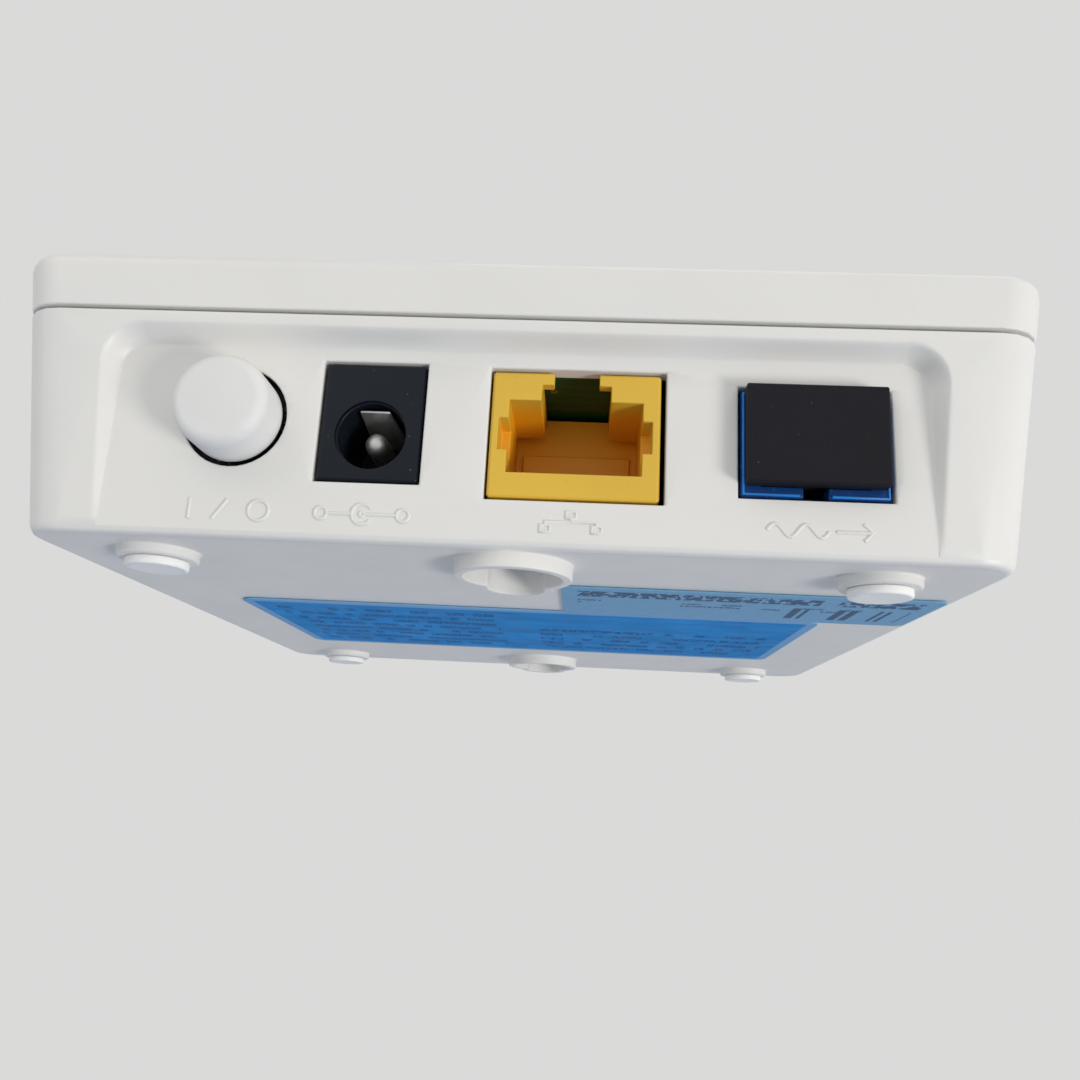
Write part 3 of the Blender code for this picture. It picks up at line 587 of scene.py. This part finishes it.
def turned(profile, centre, facing, sides=ROUND_SIDES):
    """A turned shape about an axis. Its profile runs (radius, distance along facing), front to rear."""
    shape = bmesh.new()
    across = facing.orthogonal().normalized()
    upward = facing.cross(across)
    angles = [2 * math.pi * index / sides for index in range(sides)]
    spokes = [across * math.cos(angle) + upward * math.sin(angle) for angle in angles]
    rings = []
    for radius, distance in profile:
        middle = centre + facing * distance
        if radius == 0.0:
            rings.append([shape.verts.new(middle)])
            continue
        rings.append([shape.verts.new(middle + radius * spoke) for spoke in spokes])
    for front, rear in zip(rings, rings[1:]):
        for index in range(sides):
            after = (index + 1) % sides
            corners = [front[index % len(front)], rear[index % len(rear)], rear[after % len(rear)]]
            corners.append(front[after % len(front)])
            shape.faces.new(list(dict.fromkeys(corners)))
    return shape


def arc(centre_radius, centre_distance, corner, start, end, steps):
    """Profile points on a round corner, between two angles, where 90 degrees faces the front."""
    points = []
    for step in range(steps + 1):
        angle = math.radians(start + (end - start) * step / steps)
        radius = centre_radius + corner * math.cos(angle)
        points.append((radius, centre_distance + corner * math.sin(angle)))
    return points


def from_recess(x, z):
    """How far a point of the front wall lies outside the recess's outline, or less than 0 inside."""
    across = abs(x) - (RECESS_HALF_WIDTH - RECESS_CORNER)
    up = z - (RECESS_TOP - RECESS_CORNER)
    return math.hypot(max(across, 0.0), max(up, 0.0)) + min(max(across, up), 0.0) - RECESS_CORNER


def slope_share(x, z):
    """How far up the slope a point lies, 0 at the panel and 1 at the wall. A deep slope is wide."""
    height = min(max((z - UNDERSIDE_Z) / (RECESS_TOP - UNDERSIDE_Z), 0.0), 1.0)
    width = SLOPE_WIDTH_LOW + (SLOPE_WIDTH_TOP - SLOPE_WIDTH_LOW) * height
    return (from_recess(x, z) - SLOPE_START) / width


def on_front(vert):
    return vert.co.y < PANEL_Y + TINY


def is_recess_edge(edge):
    """Whether an edge outlines the recess, and not an opening in the panel or the seam."""
    outside = [from_recess(vert.co.x, vert.co.z) for vert in edge.verts]
    near_outline = all(SLOPE_START < distance < SLOPE_WIDTH_TOP for distance in outside)
    below_seam = all(vert.co.z < CASE_HIGH.z - CASE_EDGE for vert in edge.verts)
    return near_outline and below_seam and all(on_front(vert) for vert in edge.verts)


def front_faces(shape):
    return [face for face in shape.faces if all(on_front(vert) for vert in face.verts)]


def slope_planes():
    """The upright and level planes of the grid that the front is cut into, as (point, normal)."""
    count = math.ceil((RECESS_CORNER + SLOPE_WIDTH_TOP) / SLOPE_STEP)
    offsets = [SLOPE_START + SLOPE_WIDTH_TOP - SLOPE_STEP * index for index in range(count)]
    planes = []
    for side in (-1, 1):
        planes += [((side * (RECESS_HALF_WIDTH + offset), 0, 0), (1, 0, 0)) for offset in offsets]
    levels = [RECESS_TOP + offset for offset in offsets]
    side_count = int((RECESS_TOP - RECESS_CORNER - UNDERSIDE_Z) / SIDE_STEP)
    levels += [UNDERSIDE_Z + SIDE_STEP * (index + 1) for index in range(side_count)]
    return planes + [((0, 0, level), (0, 0, 1)) for level in levels]


def soften_recess(shape):
    """Gives the recess a smooth S-shaped slope from the leaning wall down to the port panel."""
    bmesh.ops.triangulate(shape, faces=front_faces(shape))
    for point, normal in slope_planes():
        faces = front_faces(shape)
        edges = dict.fromkeys(edge for face in faces for edge in face.edges)
        verts = dict.fromkeys(vert for face in faces for vert in face.verts)
        geometry = [*faces, *edges, *verts]
        bmesh.ops.bisect_plane(
            shape, geom=geometry, plane_co=point, plane_no=normal, dist=0.1 * TINY
        )
    for vert in shape.verts:
        share = slope_share(vert.co.x, vert.co.z)
        if on_front(vert) and share < 1.0 and vert.co.z > SLOPE_LOW_Z:
            share = max(share, 0.0)
            depth = LEAN * (vert.co.z - UNDERSIDE_Z)
            vert.co.y = PANEL_Y - depth * share * share * (3 - 2 * share)
    front = [vert for vert in shape.verts if on_front(vert)]
    front = [vert for vert in front if SLOPE_START < from_recess(vert.co.x, vert.co.z)]
    bmesh.ops.remove_doubles(shape, verts=front, dist=2 * TINY)
    bmesh.ops.dissolve_degenerate(shape, edges=shape.edges, dist=0.1 * TINY)


def in_slope(point):
    """Whether a point of the case lies on the recess's soft slope."""
    beside = -TINY < from_recess(point.x, point.z) - SLOPE_START < SLOPE_WIDTH_TOP + TINY
    return beside and point.y < PANEL_Y + TINY and point.z > SLOPE_LOW_Z


def make_bottom_case():
    shape = welded_copy("bottom_case")
    edges = [edge for edge in shape.edges if is_corner(edge) and not is_recess_edge(edge)]
    rounded(shape, edges, CASE_EDGE)
    soften_recess(shape)
    mesh = put("bottom_case_surface", shape, SLOT_OF["bottom_case"], "case", "bottom_case").data
    for edge in mesh.edges:
        if all(in_slope(mesh.vertices[index].co) for index in edge.vertices):
            edge.use_edge_sharp = False


def make_film(node, corner):
    """A label: its node's box with round corners and a fine edge."""
    low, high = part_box(node)
    shape = bmesh.new()
    bmesh.ops.create_cube(shape, size=1.0)
    for vert in shape.verts:
        vert.co = (low + high) / 2 + Vector(a * b for a, b in zip(vert.co, high - low))
    upright = [edge for edge in shape.edges if abs(edge.verts[0].co.z - edge.verts[1].co.z) > TINY]
    rounded(shape, upright, corner, 8)
    rim = [edge for edge in shape.edges if is_corner(edge, RIM_ANGLE)]
    rounded(shape, rim, FILM_EDGE)
    put(f"{node}_film", shape, SLOT_OF[node], BODY_OF[node], node)


def make_foot_pad(node):
    """A soft pad with a round edge and a slightly dished face."""
    low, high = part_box(node)
    centre = (low + high) / 2
    radius = (high.x - low.x) / 2
    half = (high.z - low.z) / 2
    edge = 0.24 * MM
    dish = 0.06 * MM
    profile = [(0.0, half - dish), (0.55 * radius, half - 0.7 * dish), (0.8 * radius, half)]
    profile += arc(radius - edge, half - edge, edge, 90, 0, 6)
    profile += [(radius, -half), (0.0, -half)]
    put(f"{node}_surface", turned(profile, centre, Vector((0, 0, -1))), "foot_pad", "case", node)


def make_power_button():
    """The turned button: a barely domed face with a soft edge, a flange and the plunger's bore."""
    low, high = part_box("power_button")
    centre = Vector(((low.x + high.x) / 2, PANEL_Y, (low.z + high.z) / 2))
    radius = 4.2 * MM
    flange_radius = (high.x - low.x) / 2
    proud = PANEL_Y - low.y
    rear = PANEL_Y - high.y
    flange_front, flange_rear = -2.7 * MM, -3.7 * MM
    edge = 1.1 * MM
    bore_radius, bore_front = 2.25 * MM, -2.5 * MM
    dome = 0.16 * MM
    neck_radius = 3.5 * MM
    shares = (0.0, 0.25, 0.5, 0.75)
    profile = [(share * (radius - edge), proud - dome * share * share) for share in shares]
    profile += arc(radius - edge, proud - dome - edge, edge, 90, 0, 12)
    profile += [(radius, -0.3 * MM), (neck_radius, -0.7 * MM), (neck_radius, flange_front)]
    profile += [(flange_radius, flange_front)]
    profile += [(flange_radius, flange_rear), (radius, flange_rear), (radius, rear)]
    profile += [(bore_radius, rear), (bore_radius, bore_front), (0.0, bore_front)]
    shape = turned(profile, centre, Vector((0, -1, 0)))
    put("power_button_surface", shape, "button_plastic", "power_button", "power_button")


def make_dc_pin():
    """The power jack's centre pin, with a round tip and a groove behind it."""
    low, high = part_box("dc_jack_pin")
    centre = Vector(((low.x + high.x) / 2, low.y, (low.z + high.z) / 2))
    radius = (high.x - low.x) / 2
    long = high.y - low.y
    waist = 0.85 * radius
    profile = [(0.0, 0.0)] + arc(0.0, -radius, radius, 80, 0, 8)
    profile += [(radius, -1.6 * radius), (waist, -1.9 * radius)]
    profile += [(waist, -2.3 * radius), (radius, -2.6 * radius)]
    profile += [(radius, -long), (0.0, -long)]
    shape = turned(profile, centre, Vector((0, -1, 0)), PIN_SIDES)
    put("dc_jack_pin_surface", shape, "nickel_contact", "case", "dc_jack_pin")


def strokes(name, lines, width, slot, y):
    """Raised strokes on the port panel. Each line is (points as (x, z), whether it is closed)."""
    curve = bpy.data.curves.new(name, "CURVE")
    curve.dimensions = "3D"
    curve.bevel_depth = width / 2
    curve.bevel_resolution = 3
    curve.use_fill_caps = True
    for points, closed in lines:
        spline = curve.splines.new("POLY")
        spline.points.add(len(points) - 1)
        spline.use_cyclic_u = closed
        for point, (x, z) in zip(spline.points, points):
            point.co = (x, y, z, 1.0)
    curve.materials.append(FINISHES[slot])
    piece = bpy.data.objects.new(name, curve)
    bpy.context.scene.collection.objects.link(piece)
    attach(piece, "case")


def circle(x, z, radius, start=0, end=360, steps=28):
    angles = [math.radians(start + (end - start) * step / steps) for step in range(steps + 1)]
    if end - start == 360:
        angles = angles[:-1]
    return [(x + radius * math.cos(angle), z + radius * math.sin(angle)) for angle in angles]


def rectangle(x, z, wide, tall):
    return [(x + a * wide / 2, z + b * tall / 2) for a, b in ((-1, -1), (1, -1), (1, 1), (-1, 1))]


MARK_WIDTH = 0.34 * MM
MARK_Z = UNDERSIDE_Z + 2.5 * MM
MARK_TALL = 1.8 * MM
MARK_Y = PANEL_Y + 0.04 * MM


def middle_x(node):
    low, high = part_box(node)
    return (low.x + high.x) / 2


def mark(name, node, lines, shift=0.0):
    """A symbol under a port. Its lines are (points as (x, z) in mm from its middle, whether closed)."""
    middle = middle_x(node) + shift
    placed = []
    for points, closed in lines:
        placed.append(([(middle + x * MM, MARK_Z + z * MM) for x, z in points], closed))
    strokes(name, placed, MARK_WIDTH, "case_plastic", MARK_Y)


def make_port_marks():
    """Generic symbols raised on the panel under each port: switch, polarity, network and optical."""
    half = MARK_TALL / MM / 2
    bar = ([(-3.2, -half), (-3.2, half)], False)
    slash = ([(-1.1, -half), (0.1, half)], False)
    mark("mark_power_switch", "power_button", [bar, slash, (circle(2.9, 0, half), True)], 0.3 * MM)

    small = 0.6 * half
    open_ring = (circle(0, 0, half, 35, 325), False)
    dot = (circle(0, 0, 0.2, steps=12), True)
    ring_out = (circle(-3.6, 0, small), True)
    wire_out = ([(-3.6 + small, 0), (-half, 0)], False)
    wire_in = ([(0.2, 0), (3.0, 0)], False)
    ring_in = (circle(3.0 + small, 0, small), True)
    lines = [open_ring, dot, ring_out, wire_out, wire_in, ring_in]
    mark("mark_power_polarity", "dc_jack_housing", lines)

    side = 0.62 * half
    low, high = side / 2 - half, half - side / 2
    reach = 2.2
    lines = [(rectangle(0, high, 1.5 * side, side), True)]
    lines += [(rectangle(a * reach, low, 1.5 * side, side), True) for a in (-1, 1)]
    lines.append(([(0, high - side / 2), (0, 0)], False))
    foot = low + side / 2
    lines.append(([(-reach, foot), (-reach, 0), (reach, 0), (reach, foot)], False))
    mark("mark_network", "lan_jack_housing", lines)

    wave_start, wave_long, wave_steps = -4.2, 5.2, 32
    wave = []
    for step in range(wave_steps + 1):
        share = step / wave_steps
        wave.append((wave_start + wave_long * share, 0.62 * half * math.sin(4 * math.pi * share)))
    tip, barb = 4.6, 0.8 * half
    shaft = ([(1.6, 0), (tip, 0)], False)
    head = ([(tip - barb, barb), (tip, 0), (tip - barb, -barb)], False)
    mark("mark_optical", "sc_receptacle", [(wave, False), shaft, head])


def make_receptacle_bead():
    """A fine raised bead round the fibre receptacle's face, open at the key slot below."""
    low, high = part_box("sc_receptacle")
    gap = 0.27 * MM
    bead = 0.3 * MM
    proud = 0.02 * MM
    key_half = 1.35 * MM
    x = (low.x + high.x) / 2
    left, right, bottom, top = low.x + gap, high.x - gap, low.z + gap, high.z - gap
    points = [(x - key_half, bottom), (left, bottom), (left, top), (right, top), (right, bottom)]
    points.append((x + key_half, bottom))
    # the bead's front stays bright blue in front of the face's painted dark navy: a painted highlight
    # line
    strokes("sc_receptacle_bead", [(points, False)], bead, "sc_blue_plastic", low.y - proud)


make_bottom_case()
refine("top_cover", CASE_EDGE)
make_film("rating_label", RATING_LABEL_CORNER)
make_film("barcode_sticker", BARCODE_STICKER_CORNER)
make_power_button()
make_dc_pin()
make_port_marks()
make_receptacle_bead()
FOOT_PADS = [node for node in NODES if node.startswith("foot_pad")]
for node in FOOT_PADS:
    make_foot_pad(node)
DONE = {"bottom_case", "top_cover", "rating_label", "barcode_sticker", "power_button", "dc_jack_pin"}
DONE.update(FOOT_PADS)
for node in NODES:
    if node not in DONE:
        refine(node, FINE_EDGE)


# Stage


# Each light's name, place, target, size, power and colour
LIGHTS = (
    ("key", (0.52, -0.40, -0.26), (0, -0.04, 0.012), 0.2, 2.4, (1.0, 0.975, 0.94)),
    ("fill", (-0.30, -0.30, 0.30), (0, 0, 0.01), 0.4, 0.3, (1.0, 0.99, 0.98)),
    ("top", (0.1, 0.15, 0.55), (0, 0, 0), 0.5, 0.45, (1.0, 1.0, 1.0)),
)

# The sky's colours, and the heights of its direction between which they blend
LOW_SKY = (0.0, 0.08, 0.23)
HIGH_SKY = (0.70, 0.70, 0.695)
SKY_BLEND = (-1.0, -0.3)

FLOOR_SIZE = 3.0
FLOOR_COLORS = ((0.74, 0.75, 0.76), (0.78, 0.79, 0.80))


def soft_light(name, place, target, size, power, color):
    lamp = bpy.data.lights.new(name, "AREA")
    lamp.shape = "DISK"
    lamp.size = size
    lamp.energy = power
    lamp.color = color
    item = bpy.data.objects.new(name, lamp)
    item.location = place
    item.rotation_euler = (Vector(target) - Vector(place)).to_track_quat("-Z", "Y").to_euler()
    bpy.context.scene.collection.objects.link(item)


def make_floor():
    """A pale floor under the part. It shows only from above, so a view from below sees past it."""
    shape = bmesh.new()
    bmesh.ops.create_grid(shape, x_segments=1, y_segments=1, size=FLOOR_SIZE)
    mesh = bpy.data.meshes.new("floor")
    shape.to_mesh(mesh)
    shape.free()
    finish = Finish("floor", roughness=0.7)
    finish.set("Base Color", finish.mix(finish.noise(0.2, 2), *FLOOR_COLORS))
    below = finish.node("ShaderNodeNewGeometry").outputs["Backfacing"]
    clear = finish.node("ShaderNodeBsdfTransparent").outputs[0]
    mixed = finish.node("ShaderNodeMixShader", {0: below, 1: finish.shader.outputs[0], 2: clear})
    finish.give(finish.tree.nodes["Material Output"].inputs["Surface"], mixed.outputs[0])
    mesh.materials.append(finish.material)
    floor = bpy.data.objects.new("floor", mesh)
    bpy.context.scene.collection.objects.link(floor)
    floor.visible_shadow = False
    floor.visible_diffuse = False
    floor.visible_glossy = False


def make_world():
    """Soft light from all round, paler above than below."""
    world = bpy.data.worlds.new("studio")
    world.use_nodes = True
    tree = world.node_tree
    place = tree.nodes.new("ShaderNodeTexCoord")
    parts = tree.nodes.new("ShaderNodeSeparateXYZ")
    share = tree.nodes.new("ShaderNodeMapRange")
    share.inputs["From Min"].default_value, share.inputs["From Max"].default_value = SKY_BLEND
    blend = tree.nodes.new("ShaderNodeMix")
    blend.data_type = "RGBA"
    blend.inputs[6].default_value = (*LOW_SKY, 1.0)
    blend.inputs[7].default_value = (*HIGH_SKY, 1.0)
    tree.links.new(place.outputs["Generated"], parts.inputs[0])
    tree.links.new(parts.outputs["Z"], share.inputs["Value"])
    tree.links.new(share.outputs["Result"], blend.inputs[0])
    tree.links.new(blend.outputs[2], tree.nodes["Background"].inputs["Color"])
    bpy.context.scene.world = world


def make_camera():
    lens = bpy.data.cameras.new("camera")
    lens.lens = CAMERA_LENS
    lens.sensor_width = SENSOR_WIDTH
    lens.clip_start = CLIP_START
    camera = bpy.data.objects.new("camera", lens)
    turn = Matrix.Rotation(CAMERA_TURN, 4, "Z")
    pitch = Matrix.Rotation(math.pi / 2 + CAMERA_PITCH, 4, "X")
    tilt = Matrix.Rotation(CAMERA_TILT, 4, "Z")
    camera.matrix_world = Matrix.Translation(CAMERA_PLACE) @ turn @ pitch @ tilt
    bpy.context.scene.collection.objects.link(camera)
    bpy.context.scene.camera = camera


make_floor()
make_world()
for light in LIGHTS:
    soft_light(*light)
make_camera()
bpy.context.scene.view_settings.view_transform = "Standard"
